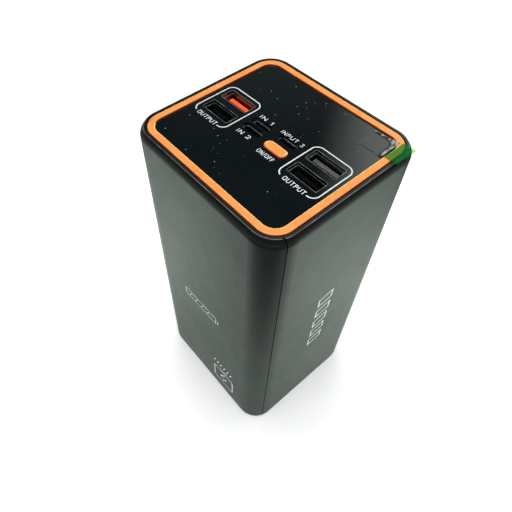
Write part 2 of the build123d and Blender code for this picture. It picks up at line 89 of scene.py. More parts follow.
camera_data = bpy.data.cameras.new("camera")
camera = bpy.data.objects.new("camera", camera_data)
bpy.context.scene.collection.objects.link(camera)
bpy.context.scene.camera = camera
azimuth, elevation = math.radians(CAMERA_AZIMUTH), math.radians(CAMERA_ELEVATION)
back = Vector((math.sin(azimuth) * math.cos(elevation),
               -math.cos(azimuth) * math.cos(elevation),
               math.sin(elevation)))
camera.rotation_mode = "QUATERNION"
rolled = Quaternion((0, 0, 1), math.radians(CAMERA_ROLL))
camera.rotation_quaternion = (-back).to_track_quat("-Z", "Y") @ rolled
camera.location = Vector(CAMERA_AT) * MM
camera_data.lens = CAMERA_LENS
camera_data.sensor_width = CAMERA_SENSOR
camera_data.shift_x, camera_data.shift_y = CAMERA_SHIFT
camera_data.clip_start, camera_data.clip_end = CAMERA_CLIP
bpy.context.scene.view_settings.view_transform = "Standard"

# ---------------------------------------------------------------- materials


def material(name):
    """A new node material, with its tree, its Principled shader and the object's coordinates in metres."""
    made = bpy.data.materials.new(name)
    made.use_nodes = True
    tree = made.node_tree
    shader = tree.nodes["Principled BSDF"]
    place = tree.nodes.new("ShaderNodeTexCoord").outputs["Object"]
    return made, tree, shader, place


def noise(tree, place, size, detail=3.0, roughness=0.55, stretch=(1, 1, 1)):
    """Noise whose blotches are about size millimetres across, as a value around 0.5."""
    mapping = tree.nodes.new("ShaderNodeMapping")
    mapping.inputs["Scale"].default_value = stretch
    tree.links.new(place, mapping.inputs["Vector"])
    node = tree.nodes.new("ShaderNodeTexNoise")
    node.inputs["Scale"].default_value = 1 / (size * MM)
    node.inputs["Detail"].default_value = detail
    node.inputs["Roughness"].default_value = roughness
    tree.links.new(mapping.outputs[0], node.inputs["Vector"])
    return node.outputs["Fac"]


def spread(tree, value, low, high, start=0.3, end=0.7):
    """value from start to end becomes low to high."""
    node = tree.nodes.new("ShaderNodeMapRange")
    node.inputs["From Min"].default_value, node.inputs["From Max"].default_value = start, end
    node.inputs["To Min"].default_value, node.inputs["To Max"].default_value = low, high
    tree.links.new(value, node.inputs["Value"])
    return node.outputs[0]


def mixed(tree, share, first, second):
    """first where share is 0 and second where it is 1. Each is a colour or a socket."""
    node = tree.nodes.new("ShaderNodeMix")
    node.data_type = "RGBA"
    tree.links.new(share, node.inputs[0])
    for socket, colour in ((node.inputs[6], first), (node.inputs[7], second)):
        if isinstance(colour, bpy.types.NodeSocket):
            tree.links.new(colour, socket)
        else:
            socket.default_value = (*colour, 1)
    return node.outputs[2]


def calc(tree, operation, first, second=None):
    """A Math node. Each input is a number or a socket."""
    node = tree.nodes.new("ShaderNodeMath")
    node.operation = operation
    for socket, value in zip(node.inputs, (first, second)):
        if isinstance(value, bpy.types.NodeSocket):
            tree.links.new(value, socket)
        elif value is not None:
            socket.default_value = value
    return node.outputs[0]


def bumped(tree, height, depth, strength, normal=None):
    """A Bump node for height, depth millimetres deep."""
    node = tree.nodes.new("ShaderNodeBump")
    node.inputs["Distance"].default_value = depth * MM
    node.inputs["Strength"].default_value = strength
    tree.links.new(height, node.inputs["Height"])
    if normal is not None:
        tree.links.new(normal, node.inputs["Normal"])
    return node.outputs["Normal"]


def surface(name, tones, rough, blotch=9.0, grain=0.35, depth=0.02, strength=0.25, metal=0.0, coat=0.0,
            ior=1.5, speck=None, stretch=(1, 1, 1), sheen=0.0):
    """The usual finish: two tones in soft blotches, fine grain in roughness and bump, and if speck is given,
    scattered small marks of that colour."""
    made, tree, shader, place = material(name)
    wide = noise(tree, place, blotch, 4.0, stretch=stretch)
    fine = noise(tree, place, grain, 2.0, stretch=stretch)
    colour = mixed(tree, spread(tree, wide, 0, 1), tones[0], tones[1])
    if speck is not None:
        dots = noise(tree, place, 0.8, 1.0)
        colour = mixed(tree, spread(tree, dots, 0, 0.6, 0.74, 0.78), colour, speck)
    tree.links.new(colour, shader.inputs["Base Color"])
    both = calc(tree, "ADD", calc(tree, "MULTIPLY", wide, 0.6), calc(tree, "MULTIPLY", fine, 0.4))
    tree.links.new(spread(tree, both, rough[0], rough[1], 0.35, 0.65), shader.inputs["Roughness"])
    tree.links.new(bumped(tree, fine, depth, strength), shader.inputs["Normal"])
    shader.inputs["Metallic"].default_value = metal
    shader.inputs["Coat Weight"].default_value = coat
    shader.inputs["Coat Roughness"].default_value = 0.08
    shader.inputs["IOR"].default_value = ior
    shader.inputs["Sheen Weight"].default_value = sheen
    return made


def housing_finish():
    """Fine matt moulding with a satin sheen, a close grain and faint rubbed marks."""
    made, tree, shader, place = material("housing")
    wide = noise(tree, place, 26.0, 4.0)
    grain = noise(tree, place, 0.42, 3.0, 0.6)
    scuff = noise(tree, place, 7.0, 5.0, 0.7, (1.4, 1.4, 0.8))
    colour = mixed(tree, spread(tree, wide, 0, 1), (0.0030, 0.0042, 0.0041), (0.0042, 0.0056, 0.0054))
    colour = mixed(tree, spread(tree, grain, 0, 0.35, 0.45, 0.75), colour, (0.0075, 0.0095, 0.0090))
    colour = mixed(tree, spread(tree, scuff, 0, 0.25, 0.66, 0.8), colour, (0.016, 0.019, 0.018))
    tree.links.new(colour, shader.inputs["Base Color"])
    both = calc(tree, "ADD", calc(tree, "MULTIPLY", wide, 0.5), calc(tree, "MULTIPLY", scuff, 0.5))
    tree.links.new(spread(tree, both, 0.30, 0.38, 0.35, 0.65), shader.inputs["Roughness"])
    tree.links.new(bumped(tree, grain, 0.012, 0.25, bumped(tree, wide, 0.05, 0.12)), shader.inputs["Normal"])
    shader.inputs["IOR"].default_value = 1.52
    return made


# Edges of the orange parts that turn this way get a painted highlight; edges turned the other way get painted
# shade.
TOWARDS_REAR = (-0.55, 0.83, 0)


def tilt_of(tree):
    """Two values: how far the surface turns away from level, 0 on top and 1 on an upright wall, and which way
    it turns, 1 towards the rear and the left and 0 towards the front and the right."""
    normal = tree.nodes.new("ShaderNodeTexCoord").outputs["Normal"]
    axes = tree.nodes.new("ShaderNodeSeparateXYZ")
    tree.links.new(normal, axes.inputs[0])
    along = tree.nodes.new("ShaderNodeVectorMath")
    along.operation = "DOT_PRODUCT"
    tree.links.new(normal, along.inputs[0])
    along.inputs[1].default_value = TOWARDS_REAR
    tilt = calc(tree, "SUBTRACT", 1.0, axes.outputs["Z"])
    return tilt, spread(tree, along.outputs["Value"], 0, 1, -0.01, 0.06)


def orange_finish(name):
    """Bright satin plastic, a little paler and deeper in places, with fine tool marks. Its edges carry a
    painted highlight where they turn towards the rear, and painted shade where they turn down towards the
    front."""
    made, tree, shader, place = material(name)
    wide = noise(tree, place, 6.0, 4.0)
    fine = noise(tree, place, 0.3, 2.0)
    colour = mixed(tree, spread(tree, wide, 0, 1), (0.66, 0.222, 0.046), (0.70, 0.268, 0.068))
    colour = mixed(tree, spread(tree, fine, 0, 0.3, 0.55, 0.8), colour, (0.58, 0.190, 0.034))
    tilt, rear = tilt_of(tree)
    # Painted highlight on edges that turn towards the rear, painted shade on edges that turn down towards the
    # front.
    pale = calc(tree, "MULTIPLY", spread(tree, tilt, 0, 1, 0.004, 0.03), rear)
    deep = calc(tree, "MULTIPLY", spread(tree, tilt, 0, 1, 0.05, 0.5), calc(tree, "SUBTRACT", 1.0, rear))
    colour = mixed(tree, pale, colour, (0.92, 0.58, 0.27))
    colour = mixed(tree, deep, colour, (0.20, 0.025, 0.004))
    tree.links.new(colour, shader.inputs["Base Color"])
    tree.links.new(spread(tree, wide, 0.26, 0.38), shader.inputs["Roughness"])
    tree.links.new(bumped(tree, fine, 0.01, 0.3), shader.inputs["Normal"])
    shader.inputs["Subsurface Weight"].default_value = 0.15
    shader.inputs["Subsurface Radius"].default_value = (1.0, 0.4, 0.15)
    shader.inputs["Subsurface Scale"].default_value = 0.0006
    return made


PANEL_IOR = 1.72           # the panel carries the mirror of the film that lies on it


def panel_finish():
    """Glossy near-black plate: faint long waviness, hair marks and a trace of dust."""
    made, tree, shader, place = material("panel_black")
    wide = noise(tree, place, 14.0, 3.0)
    hair = noise(tree, place, 1.6, 3.0, 0.6, (0.25, 3.0, 1.0))
    dust = noise(tree, place, 0.7, 1.0)
    colour = mixed(tree, spread(tree, wide, 0, 1), (0.0010, 0.0028, 0.0034), (0.0018, 0.0040, 0.0044))
    colour = mixed(tree, spread(tree, dust, 0, 0.5, 0.77, 0.82), colour, (0.06, 0.066, 0.066))
    tree.links.new(colour, shader.inputs["Base Color"])
    both = calc(tree, "ADD", calc(tree, "MULTIPLY", wide, 0.5), calc(tree, "MULTIPLY", hair, 0.5))
    tree.links.new(spread(tree, both, 0.035, 0.075, 0.35, 0.65), shader.inputs["Roughness"])
    shader.inputs["IOR"].default_value = PANEL_IOR
    tree.links.new(bumped(tree, wide, 0.02, 0.05), shader.inputs["Normal"])
    return made


def blend_of(tree, share, first, second):
    """The first shader where share is 0 and the second where it is 1."""
    mix = tree.nodes.new("ShaderNodeMixShader")
    for socket, source in zip(mix.inputs, (share, first, second)):
        tree.links.new(source, socket)
    return mix.outputs[0]


def see_through(name, tint, body, gloss_rough, haze, strength=0.2, grain=2.0, skin=True):
    """Clear sheet: what is behind shows through tint, with body colour where haze says, and a glossy skin
    unless the sheet lies flat on something glossy. haze takes the tree and the coordinates and gives how
    solid the sheet looks, from 0 to 1."""
    made, tree, shader, place = material(name)
    wave = noise(tree, place, grain, 3.0)
    colour = mixed(tree, spread(tree, wave, 0, 1), body, tuple(0.8 * c for c in body))
    tree.links.new(colour, shader.inputs["Base Color"])
    tree.links.new(spread(tree, wave, gloss_rough[0], gloss_rough[1]), shader.inputs["Roughness"])
    normal = bumped(tree, wave, 0.05, strength)
    tree.links.new(normal, shader.inputs["Normal"])
    clear = tree.nodes.new("ShaderNodeBsdfTransparent")
    clear.inputs["Color"].default_value = (*tint, 1)
    front = clear.outputs[0]
    if skin:
        fresnel = tree.nodes.new("ShaderNodeFresnel")
        fresnel.inputs["IOR"].default_value = 1.4
        tree.links.new(normal, fresnel.inputs["Normal"])
        rear = tree.nodes.new("ShaderNodeNewGeometry").outputs["Backfacing"]
        mirror = calc(tree, "MULTIPLY", fresnel.outputs[0], calc(tree, "SUBTRACT", 1.0, rear))
        gloss = tree.nodes.new("ShaderNodeBsdfAnisotropic")
        gloss.inputs["Color"].default_value = (1, 1, 1, 1)
        tree.links.new(spread(tree, wave, gloss_rough[0], gloss_rough[1]), gloss.inputs["Roughness"])
        tree.links.new(normal, gloss.inputs["Normal"])
        front = blend_of(tree, mirror, front, gloss.outputs[0])
    whole = blend_of(tree, haze(tree, place), front, shader.outputs[0])
    tree.links.new(whole, tree.nodes["Material Output"].inputs["Surface"])
    return made


def speckled(tree, place):
    """Almost clear, with a trace of haze and tiny solid specks."""
    return spread(tree, noise(tree, place, 0.55, 1.0), 0.003, 0.4, 0.77, 0.85)


TAPE = (21.6, 31.3, 19.2, 28.1)          # x0, x1, y0, y1
TAPE_LIFT = (156.38, 156.62)             # heights between which it leaves the film
TAPE_LIFT_X = (26.5, 29.5)
CUT_EDGE = (0.15, 0.35)                  # how far in from its edge the pale line ends


def tape_finish():
    """Clear tape: greyish and glossy where it lies flat on the film, with whitish crinkles where it lifts
    towards the ring, and pale cut edges."""
    made, tree, shader, place = material("clear_tape")
    axes = tree.nodes.new("ShaderNodeSeparateXYZ")
    tree.links.new(place, axes.inputs[0])
    lifted = spread(tree, axes.outputs["Z"], 0, 1, TAPE_LIFT[0] * MM, TAPE_LIFT[1] * MM)
    to_ring = spread(tree, axes.outputs["X"], 0.15, 1, TAPE_LIFT_X[0] * MM, TAPE_LIFT_X[1] * MM)
    lifted = calc(tree, "MULTIPLY", lifted, to_ring)
    streaks = spread(tree, noise(tree, place, 1.7, 3.0, 0.6, (1.0, 0.6, 1.0)), 0.05, 0.8, 0.42, 0.70)
    cuts = [spread(tree, axes.outputs[axis], 0.10, 0, (edge + CUT_EDGE[0]) * MM, (edge + CUT_EDGE[1]) * MM)
            for axis, edge in (("X", TAPE[0]), ("Y", TAPE[2]))]
    cut = calc(tree, "MAXIMUM", *cuts)
    pale = calc(tree, "MAXIMUM", cut, calc(tree, "MULTIPLY", lifted, streaks))
    tree.links.new(mixed(tree, pale, (0.026, 0.029, 0.027), (0.60, 0.62, 0.59)), shader.inputs["Base Color"])
    wave = noise(tree, place, 6.0, 2.0)
    tree.links.new(spread(tree, wave, 0.05, 0.10), shader.inputs["Roughness"])
    tree.links.new(bumped(tree, wave, 0.05, 0.08), shader.inputs["Normal"])
    shader.inputs["IOR"].default_value = PANEL_IOR
    clear = tree.nodes.new("ShaderNodeBsdfTransparent")
    clear.inputs["Color"].default_value = (0.95, 0.96, 0.95, 1)
    solid = spread(tree, pale, 0.62, 0.85, 0, 1)
    tree.links.new(blend_of(tree, solid, clear.outputs[0], shader.outputs[0]),
                   tree.nodes["Material Output"].inputs["Surface"])
    return made


def guide_haze(tree, place):
    """Clear moulding with faint flow marks."""
    return spread(tree, noise(tree, place, 1.5, 3.0), 0.12, 0.3)


def tab_finish():
    """Green see-through film with pale creases."""
    made, tree, shader, place = material("green_tab")
    wave = noise(tree, place, 1.4, 4.0, 0.6)
    crease = noise(tree, place, 3.0, 4.0, 0.7, (0.4, 2.2, 1.0))
    colour = mixed(tree, spread(tree, wave, 0, 1), (0.004, 0.36, 0.13), (0.008, 0.48, 0.18))
    colour = mixed(tree, spread(tree, crease, 0, 0.6, 0.58, 0.78), colour, (0.10, 0.50, 0.24))
    tree.links.new(colour, shader.inputs["Base Color"])
    tree.links.new(spread(tree, wave, 0.12, 0.3), shader.inputs["Roughness"])
    tree.links.new(bumped(tree, crease, 0.12, 0.5), shader.inputs["Normal"])
    clear = tree.nodes.new("ShaderNodeBsdfTransparent")
    clear.inputs["Color"].default_value = (0.62, 0.82, 0.36, 1)
    whole = blend_of(tree, spread(tree, wave, 0.07, 0.13), clear.outputs[0], shader.outputs[0])
    tree.links.new(whole, tree.nodes["Material Output"].inputs["Surface"])
    return made


def spec(*tones_and_sizes, **options):
    """What surface() takes after the name."""
    return tones_and_sizes, options


SURFACES = {
    "deck_plastic": spec(((0.02, 0.021, 0.022), (0.03, 0.031, 0.032)), (0.4, 0.6)),
    "adhesive": spec(((0.02, 0.02, 0.02), (0.05, 0.05, 0.05)), (0.6, 0.85), 3.0, 0.25, 0.05, 0.5),
    "socket_steel": spec(((0.16, 0.16, 0.165), (0.24, 0.24, 0.245)), (0.22, 0.38), 3.0, 0.2, 0.01, 0.3,
                         metal=1.0, stretch=(1, 1, 0.15)),
    "tongue_orange": spec(((0.78, 0.070, 0.012), (0.92, 0.110, 0.022)), (0.35, 0.5), 1.5, 0.2),
    "tongue_grey": spec(((0.045, 0.049, 0.046), (0.095, 0.100, 0.094)), (0.5, 0.7), 0.9, 0.22, 0.05, 0.6,
                        ior=1.25, speck=(0.34, 0.35, 0.34)),
    "socket_plastic": spec(((0.0012, 0.0014, 0.0015), (0.0026, 0.0029, 0.0030)), (0.45, 0.65), 2.0, 0.2,
                           ior=1.1, speck=(0.03, 0.03, 0.03)),
    "plunger_plastic": spec(((0.02, 0.02, 0.02), (0.035, 0.035, 0.036)), (0.4, 0.6), 2.0, 0.2),
    "contact_brass": spec(((0.30, 0.23, 0.12), (0.42, 0.33, 0.18)), (0.3, 0.45), 1.0, 0.12, metal=1.0),
    "circuit_board": spec(((0.010, 0.10, 0.045), (0.018, 0.15, 0.065)), (0.25, 0.4), 3.0, 0.4, 0.03, 0.4,
                          coat=0.4),
    "chip_plastic": spec(((0.012, 0.012, 0.013), (0.022, 0.022, 0.023)), (0.5, 0.7), 1.5, 0.15, 0.02, 0.5),
    "inductor_core": spec(((0.10, 0.10, 0.105), (0.15, 0.15, 0.155)), (0.55, 0.75), 1.5, 0.2, 0.04, 0.6),
    "capacitor_can": spec(((0.68, 0.69, 0.71), (0.78, 0.79, 0.81)), (0.2, 0.35), 2.0, 0.2, metal=1.0,
                          stretch=(1, 1, 0.2)),
    "led_white": spec(((0.80, 0.80, 0.70), (0.90, 0.88, 0.76)), (0.2, 0.35), 0.6, 0.2),
    "screw_steel": spec(((0.42, 0.42, 0.43), (0.52, 0.52, 0.54)), (0.25, 0.45), 1.0, 0.15, 0.02, 0.4,
                        metal=1.0),
    "cell_pouch": spec(((0.55, 0.57, 0.59), (0.66, 0.68, 0.70)), (0.25, 0.5), 16.0, 1.2, 0.08, 0.5,
                       metal=1.0),
    "tab_metal": spec(((0.66, 0.66, 0.66), (0.76, 0.76, 0.75)), (0.2, 0.35), 2.0, 0.2, metal=1.0,
                      stretch=(0.3, 1, 1)),
    "lead_red": spec(((0.45, 0.015, 0.015), (0.58, 0.03, 0.025)), (0.45, 0.6), 3.0, 0.3),
    "lead_black": spec(((0.012, 0.012, 0.012), (0.024, 0.024, 0.024)), (0.45, 0.6), 3.0, 0.3),
    "foam": spec(((0.035, 0.035, 0.036), (0.06, 0.06, 0.061)), (0.8, 0.95), 4.0, 0.5, 0.15, 0.9, sheen=0.3),
    "card": spec(((0.12, 0.095, 0.06), (0.18, 0.145, 0.10)), (0.7, 0.85), 5.0, 0.4, 0.04, 0.6),
}
# One finish for each material slot of the record.
finishes = {name: surface(name, *given, **options) for name, (given, options) in SURFACES.items()}
finishes.update({
    "housing": housing_finish(),
    "ring_orange": orange_finish("ring_orange"),
    "button_orange": orange_finish("button_orange"),
    "panel_black": panel_finish(),
    "clear_film": see_through("clear_film", (0.98, 0.985, 0.985), (0.25, 0.27, 0.27), (0.25, 0.4), speckled,
                              0.03, 12.0, skin=False),
    "clear_tape": tape_finish(),
    "clear_guide": see_through("clear_guide", (0.9, 0.94, 0.94), (0.6, 0.65, 0.65), (0.1, 0.25),
                               guide_haze),
    "green_tab": tab_finish(),
})
print_white = surface("print_white", ((0.56, 0.58, 0.58), (0.66, 0.68, 0.68)), (0.4, 0.6), 2.0, 0.2)
label_white = surface("label_white", ((0.76, 0.78, 0.78), (0.86, 0.88, 0.88)), (0.4, 0.6), 2.0, 0.2)
print_grey = surface("print_grey", ((0.74, 0.77, 0.75), (0.84, 0.87, 0.85)), (0.4, 0.6), 2.0, 0.2)
dust_grey = surface("dust_grey", ((0.30, 0.31, 0.31), (0.62, 0.63, 0.62)), (0.7, 0.9), 1.5, 0.2)
# A painted highlight: the pale line along the button's rear crest.
button_highlight_orange = surface("button_highlight_orange", ((0.86, 0.50, 0.24), (0.98, 0.70, 0.42)), (0.3, 0.4), 2.0, 0.2)
# A painted highlight, pale in blotches, along the edges of the USB-A cut-outs.
cutout_highlight_grey = surface("cutout_highlight_grey", ((0.006, 0.007, 0.008), (0.30, 0.31, 0.31)), (0.3, 0.5), 3.2, 0.2)
# A painted highlight: brighter steel for the lines round the steel mouths.
rim_highlight_steel = surface("rim_highlight_steel", ((0.55, 0.55, 0.56), (0.75, 0.75, 0.76)), (0.4, 0.6), 1.2, 0.2,
                         metal=1.0)
# A painted highlight: the pale line along the rim's crease.
crease_highlight_grey = surface("crease_highlight_grey", ((0.045, 0.050, 0.050), (0.20, 0.21, 0.205)), (0.3, 0.5), 5.0, 0.3)

for part in frame["record"]["subparts"]:
    slots = nodes[part["node"]].data.materials
    for index in range(len(slots)):
        slots[index] = finishes[part["material_slot"]]
    if not len(slots):
        slots.append(finishes[part["material_slot"]])

# ---------------------------------------------------------------- pieces


def piece(name, mesh_maker, finish, body="housing"):
    """A new object from a bmesh that mesh_maker fills in millimetres."""
    bm = bmesh.new()
    mesh_maker(bm)
    bmesh.ops.scale(bm, vec=(MM, MM, MM), verts=bm.verts)
    bmesh.ops.recalc_face_normals(bm, faces=bm.faces)
    mesh = bpy.data.meshes.new(name)
    bm.to_mesh(mesh)
    bm.free()
    mesh.materials.append(finish)
    made = bpy.data.objects.new(name, mesh)
    bpy.context.scene.collection.objects.link(made)
    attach(made, body)
    return made


def turn(centre, radius, start, end, steps=6):
    """Points on an arc, angles in degrees."""
    return [(centre[0] + radius * math.cos(math.radians(start + (end - start) * i / steps)),
             centre[1] + radius * math.sin(math.radians(start + (end - start) * i / steps)))
            for i in range(steps + 1)]


SHARPEST = 0.45            # a corner's reach grows to no more than the line's half width divided by this
CAP_ANGLES = (1.05, 0.52, 0.0, -0.52, -1.05)


def stroke(bm, points, width, place, height, closed=False):
    """A flat solid line of that width along points, with round ends. height is its lower and upper face, and
    place turns (u, v, h) into a point in space."""
    points = [Vector(p) for p in points]
    count = len(points)
    left, right = [], []
    for i, p in enumerate(points):
        before = points[i - 1] if closed or i else p
        after = points[(i + 1) % count] if closed or i < count - 1 else p
        way_in, way_out = (p - before).normalized(), (after - p).normalized()
        along = (way_in + way_out).normalized() if (way_in + way_out).length > 1e-6 else way_out
        side = Vector((-along.y, along.x))
        slant = abs(side.dot(Vector((-way_out.y, way_out.x)))) if way_out.length else 1
        reach = width / 2 / max(SHARPEST, slant)
        left.append(p + side * reach)
        right.append(p - side * reach)
    if not closed:
        caps = []
        for at, towards in ((points[0], points[0] - points[1]), (points[-1], points[-1] - points[-2])):
            facing = math.atan2(towards.y, towards.x)
            caps.append([at + Vector((math.cos(facing + a), math.sin(facing + a))) * width / 2
                         for a in CAP_ANGLES])
        outline = left + caps[1] + right[::-1] + caps[0]
        levels = [[bm.verts.new(place(p.x, p.y, h)) for p in outline] for h in height]
        bm.faces.new(levels[1])
        bm.faces.new(levels[0][::-1])
        for i in range(len(outline)):
            j = (i + 1) % len(outline)
            bm.faces.new((levels[0][i], levels[0][j], levels[1][j], levels[1][i]))
        return
    rows = [[[bm.verts.new(place(p.x, p.y, h)) for p in line] for line in (left, right)] for h in height]
    for i in range(count):
        j = (i + 1) % count
        (low_l, low_r), (top_l, top_r) = rows
        bm.faces.new((top_l[i], top_r[i], top_r[j], top_l[j]))
        bm.faces.new((low_l[j], low_r[j], low_r[i], low_l[i]))
        bm.faces.new((low_l[i], top_l[i], top_l[j], low_l[j]))
        bm.faces.new((low_r[j], top_r[j], top_r[i], low_r[i]))


def loop(x0, x1, y0, y1, radius, steps=6):
    """Points round a rounded rectangle, from the left end of its lower side, against the clock."""
    return (turn((x1 - radius, y0 + radius), radius, -90, 0, steps)
            + turn((x1 - radius, y1 - radius), radius, 0, 90, steps)
            + turn((x0 + radius, y1 - radius), radius, 90, 180, steps)
            + turn((x0 + radius, y0 + radius), radius, 180, 270, steps))


# For each letter its width, and its strokes in a cell 1 high, each with whether it is closed.
LETTERS = {
    "O": (0.74, [(loop(0, 0.74, 0, 1, 0.3, 4), True)]),
    "U": (0.70, [([(0, 1), *turn((0.28, 0.28), 0.28, 180, 270, 4), *turn((0.42, 0.28), 0.28, 270, 360, 4),
                   (0.70, 1)], False)]),
    "T": (0.66, [([(0, 1), (0.66, 1)], False), ([(0.33, 1), (0.33, 0)], False)]),
    "P": (0.60, [([(0, 0), (0, 1), (0.33, 1), *turn((0.36, 0.74), 0.26, 90, -90, 6), (0, 0.48)], False)]),
    "I": (0.02, [([(0.01, 0), (0.01, 1)], False)]),
    "N": (0.66, [([(0, 0), (0, 1)], False), ([(0, 1), (0.66, 0)], False), ([(0.66, 0), (0.66, 1)], False)]),
    "F": (0.54, [([(0, 0), (0, 1), (0.54, 1)], False), ([(0, 0.52), (0.44, 0.52)], False)]),
    "/": (0.40, [([(0, -0.08), (0.40, 1.08)], False)]),
    "1": (0.26, [([(0, 0.78), (0.24, 1), (0.24, 0)], False)]),
    "2": (0.58, [([*turn((0.29, 0.71), 0.29, 165, -40, 7), (0, 0), (0.60, 0)], False)]),
    "3": (0.56, [([*turn((0.27, 0.75), 0.25, 150, -80, 7), *turn((0.27, 0.27), 0.27, 80, -150, 7)], False)]),
    " ": (0.20, []),
}
LETTER_GAP = 0.40
OVERLAP_LIFT = 0.0006      # each stroke of a letter ends this much higher, so no two tops lie in one plane


def lettering(bm, words, box, width, place, height):
    """words in strokes, fitted to box = (u0, u1, v0, v1), the outer edges of the ink."""
    u0, u1, v0, v1 = box
    u0, u1, v0, v1 = u0 + width / 2, u1 - width / 2, v0 + width / 2, v1 - width / 2
    natural = sum(LETTERS[c][0] for c in words) + LETTER_GAP * (len(words) - 1)
    wide, tall = (u1 - u0) / natural, v1 - v0
    at = 0.0
    for letter in words:
        for number, (points, closed) in enumerate(LETTERS[letter][1]):
            lift = OVERLAP_LIFT * number
            stroke(bm, [(u0 + wide * (at + x), v0 + tall * y) for x, y in points], width, place,
                   (height[0], height[1] + lift), closed)
        at += LETTERS[letter][0] + LETTER_GAP


def flat(u, v, h):
    """For lines on the top face."""
    return (u, v, h)


def top_of(node):
    """The height of a node's top, in millimetres."""
    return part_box(node)[1].z / MM


PANEL_TOP = top_of("top_panel")
FILM_TOP = top_of("protective_film")
RING_TOP = top_of("accent_ring")
PROUD = 0.012              # how far a printed line or a line of painted highlight stands above what it lies on
INK = (PANEL_TOP - 0.002, PANEL_TOP + PROUD)

FRAME_X = (13.3, 30.4)
FRAME_Y = (-11.65, 8.22)
FRAME_R = 2.8
FRAME_LINE = 0.44
FRAME_REST = 14.0          # the lower line starts again this far along, after the label

# The words on the panel, with the box of their ink (u0, u1, v0, v1) and the width of their lines.
LABELS = (
    ("OUTPUT", (-27.0, -17.13, -12.15, -10.3), 0.20),
    ("OUTPUT", (16.97, 26.5, -12.15, -10.3), 0.22),
    ("IN 1", (-10.0, -3.9, 2.93, 4.63), 0.21),
    ("IN 2", (-9.9, -3.7, -8.15, -6.36), 0.21),
    ("INPUT 3", (0.81, 11.09, 2.94, 4.63), 0.18),
    ("ON/OFF", (2.11, 9.6, -9.74, -7.95), 0.18),
)
USB_A_SHELLS = [f"usb_a_shell_{number}" for number in (1, 2, 3, 4)]
MOUTHS = [*USB_A_SHELLS, "type_c_shell", "micro_shell", "input_port_3_shell"]


def frames(bm):
    """The white outline round each pair of output sockets, open where its label stands."""
    for side in (-1, 1):
        x0, x1 = sorted((side * FRAME_X[0], side * FRAME_X[1]))
        half = FRAME_LINE / 2
        points = loop(x0 + half, x1 - half, FRAME_Y[0] + half, FRAME_Y[1] - half, FRAME_R, 8)
        stroke(bm, [(x0 + FRAME_REST, FRAME_Y[0] + half), *points[:-2]], FRAME_LINE, flat, INK)


def top_labels(bm):
    """The generic words beside the sockets and the button."""
    for words, box, width in LABELS:
        lettering(bm, words, box, width, flat, INK)


def socket_rim_highlights(bm):
    """A bright steel line round each steel mouth, just above the stamped shell: a painted highlight for the
    light on the rounded rim.
    """
    for mouth in MOUTHS:
        low, high = (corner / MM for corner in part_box(mouth))
        inset, line = 0.12, 0.16
        radius = min(high.y - low.y, high.x - low.x) / 2 - inset if mouth == "type_c_shell" else 0.5
        points = loop(low.x + inset, high.x - inset, low.y + inset, high.y - inset, radius, 6)
        stroke(bm, points, line, flat, (high.z - 0.05, high.z + PROUD), True)


def cutout_highlight_lines(bm):
    """A line painted round each USB-A cut-out in the panel, just outside the steel mouth, as the highlight on
    the cut-out's edge.
    """
    outset, trim, line = 0.06, 0.11, 0.12
    for shell in USB_A_SHELLS:
        low, high = (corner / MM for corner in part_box(shell))
        points = loop(low.x - outset, high.x + outset, low.y + trim - outset, high.y - trim + outset, 0.4, 4)
        stroke(bm, points, line, flat, (PANEL_TOP - 0.05, PANEL_TOP + PROUD), True)


def button_highlight_line(bm):
    """A pale line painted round the rear side of the button's crest, as its highlight."""
    low, high = (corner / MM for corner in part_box("power_button"))
    middle = (low + high) / 2
    reach, radius = 2.8, 1.60
    points = (turn((middle.x - reach, middle.y), radius, 205, 90)
              + turn((middle.x + reach, middle.y), radius, 90, -15))
    stroke(bm, points, 0.15, flat, (high.z - 0.08, high.z + 0.006))


# Painted highlight along the button's rear crest.
piece("button_highlight_line", button_highlight_line, button_highlight_orange, "power_button")

# The switch's dome flattens under the plunger by the button's travel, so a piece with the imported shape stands
# for it.
dome = bpy.data.objects.new("pressed_dome", nodes["switch_dome"].data.copy())
bpy.context.scene.collection.objects.link(dome)
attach(dome, "housing")
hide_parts("switch_dome")
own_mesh(dome)

# Painted highlight round the USB-A cut-outs.
piece("cutout_highlight_lines", cutout_highlight_lines, cutout_highlight_grey)
# Painted highlight round the steel mouths.
piece("socket_rim_highlights", socket_rim_highlights, rim_highlight_steel)
piece("printed_frames", frames, print_white)
piece("printed_labels", top_labels, label_white)

RIM_TOP = top_of("rear_shell")
RIM_X, RIM_BACK, CREASE_R = 36.0, 33.5, 9.0
SEAM = -28.3               # joint between the front cover and the rear shell
SEAM_GAP = 0.2             # the line stops this far from the joint


def rim_crease_highlight(bm):
    """A pale line painted along the crisp edge where the rim turns down, as its highlight."""
    points = loop(-RIM_X, RIM_X, -RIM_BACK, RIM_BACK, CREASE_R, 24)
    front = [point for point in points if point[1] < SEAM - SEAM_GAP]
    half = len(front) // 2
    rear = [point for point in points if point[1] > SEAM + SEAM_GAP]
    for run in (front[half:] + front[:half], rear):
        stroke(bm, run, 0.2, flat, (RIM_TOP - 0.03, RIM_TOP + PROUD))


# Painted highlight along the rim's crease.
piece("rim_crease_highlight", rim_crease_highlight, crease_highlight_grey)

FRONT = cad_low.y / MM
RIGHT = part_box("rear_shell")[1].x / MM
SIDE_INK = (-0.01, 0.004)


def on_front(u, v, h):
    """For lines on the front face, h outwards."""
    return (u, FRONT - h, v)


def on_right(u, v, h):
    """For lines on the right side, h outwards."""
    return (RIGHT + h, u, v)


